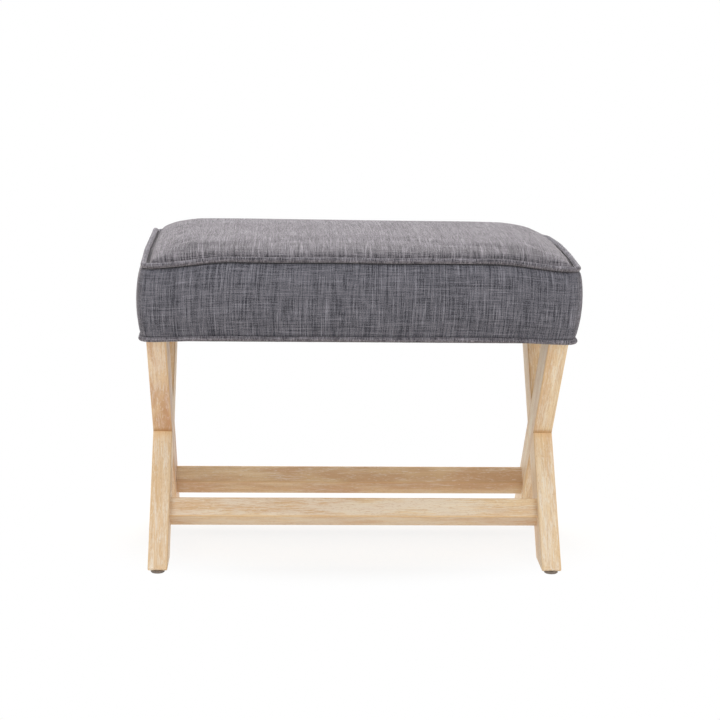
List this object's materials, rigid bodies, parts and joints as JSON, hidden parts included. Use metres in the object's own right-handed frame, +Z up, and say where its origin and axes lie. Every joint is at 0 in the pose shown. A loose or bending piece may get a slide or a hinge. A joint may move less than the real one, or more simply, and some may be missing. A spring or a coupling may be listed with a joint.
{
  "type": "ottoman",
  "caption": "Bench-like ottoman: boxed, piped seat in grey linen-look cloth on two X-shaped frames of pale limed wood joined by stretchers.",
  "frame": {"origin": "on the floor, under the middle of the seat", "axes": "+X to the object's right as seen from the front (the seat's width), +Y to the back (its depth), +Z up; the front, which the picture shows, faces -Y"},
  "size_m": [0.6184, 0.4314, 0.478],
  "materials": {
    "limed_wood": "satin",
    "dowel_wood": "matte",
    "dark_steel": "satin",
    "zinc_steel": "satin",
    "glide_plastic": "matte",
    "frame_wood": "matte",
    "plywood": "matte",
    "foam": "matte",
    "batting": "matte",
    "grey_cloth": "matte",
    "cotton_cord": "matte",
    "black_cambric": "matte"
  },
  "bodies": {
    "root": {"lap_dowels": "dowel_wood", "cleat_dowels": "dowel_wood", "stretcher_dowels": "dowel_wood", "stretcher_bolts": "dark_steel", "stretcher_inserts": "zinc_steel", "seat_bolts": "dark_steel", "seat_bolt_washers": "zinc_steel", "threaded_inserts": "zinc_steel", "rail_screws": "zinc_steel", "deck_screws": "zinc_steel", "corner_block_screws": "zinc_steel", "glide_front_left": "glide_plastic", "glide_rear_left": "glide_plastic", "glide_front_right": "glide_plastic", "glide_rear_right": "glide_plastic", "glide_nails": "zinc_steel", "left_leg_front_foot": "limed_wood", "left_leg_rear_foot": "limed_wood", "right_leg_front_foot": "limed_wood", "right_leg_rear_foot": "limed_wood", "left_top_cleat": "limed_wood", "right_top_cleat": "limed_wood", "front_stretcher": "limed_wood", "rear_stretcher": "limed_wood", "dust_cover_staples": "zinc_steel", "dust_cover": "black_cambric", "seat_rail_front": "frame_wood", "seat_rail_rear": "frame_wood", "seat_rail_left": "frame_wood", "seat_rail_right": "frame_wood", "corner_block_front_left": "frame_wood", "corner_block_front_right": "frame_wood", "corner_block_rear_left": "frame_wood", "corner_block_rear_right": "frame_wood", "seat_deck": "plywood", "foam_pad": "foam", "batting_wrap": "batting", "cover_top_panel": "grey_cloth", "boxing_front": "grey_cloth", "boxing_right": "grey_cloth", "boxing_rear": "grey_cloth", "boxing_left": "grey_cloth", "top_welt": "grey_cloth", "top_welt_cord": "cotton_cord", "bottom_welt": "grey_cloth", "bottom_welt_cord": "cotton_cord"}
  },
  "joints": []
}
